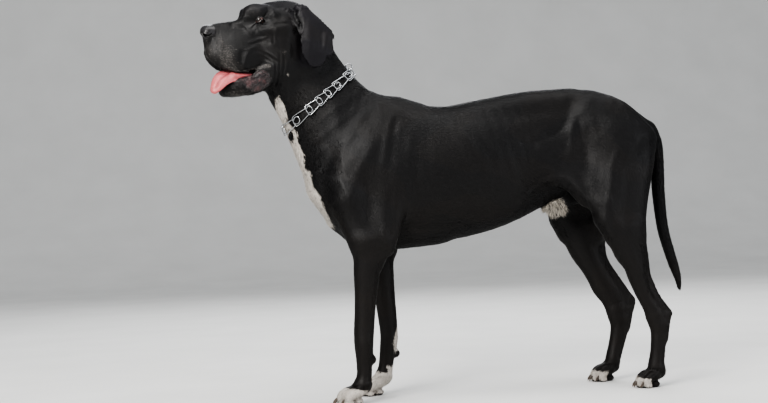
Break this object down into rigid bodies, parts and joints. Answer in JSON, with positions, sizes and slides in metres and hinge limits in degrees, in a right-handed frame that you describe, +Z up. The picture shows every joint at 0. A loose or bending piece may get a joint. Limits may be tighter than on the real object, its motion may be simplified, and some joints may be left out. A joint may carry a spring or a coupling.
{
  "type": "great dane",
  "caption": "Life-size standing great dane, a still museum-type model of a short-coated black dog with hanging ears, open mouth with tongue, and a steel chain collar.",
  "frame": {"origin": "middle of the box round the dog, on the floor", "axes": "+Z up; the dog faces -X with its head turned a little to its left, and its left side is -Y"},
  "size_m": [1.3724, 0.2888, 1.1389],
  "materials": {
    "short_coat": "short glossy black hair lying flat, with a white chest strip and white toes",
    "nose_leather": "moist, finely pebbled",
    "eyes": "wet, polished",
    "tongue": "moist, finely rough",
    "claws": "horn, satin",
    "collar_steel": "plated wire, bright"
  },
  "bodies": {
    "root": {"collar": "collar_steel", "ear_left": "short_coat", "ear_right": "short_coat", "eye_left": "eyes", "eye_right": "eyes", "fore_left_arm": "short_coat", "fore_left_claw_1": "claws", "fore_left_claw_2": "claws", "fore_left_claw_3": "claws", "fore_left_claw_4": "claws", "fore_left_forearm": "short_coat", "fore_left_pastern": "short_coat", "fore_left_paw": "short_coat", "fore_right_arm": "short_coat", "fore_right_claw_1": "claws", "fore_right_claw_2": "claws", "fore_right_claw_3": "claws", "fore_right_claw_4": "claws", "fore_right_forearm": "short_coat", "fore_right_pastern": "short_coat", "fore_right_paw": "short_coat", "head": "short_coat", "hind_left_claw_1": "claws", "hind_left_claw_2": "claws", "hind_left_claw_3": "claws", "hind_left_claw_4": "claws", "hind_left_gaskin": "short_coat", "hind_left_pastern": "short_coat", "hind_left_paw": "short_coat", "hind_left_thigh": "short_coat", "hind_right_claw_1": "claws", "hind_right_claw_2": "claws", "hind_right_claw_3": "claws", "hind_right_claw_4": "claws", "hind_right_gaskin": "short_coat", "hind_right_pastern": "short_coat", "hind_right_paw": "short_coat", "hind_right_thigh": "short_coat", "lower_jaw": "short_coat", "neck": "short_coat", "nose": "nose_leather", "tail_lower": "short_coat", "tail_upper": "short_coat", "tongue": "tongue", "trunk": "short_coat"}
  },
  "joints": []
}
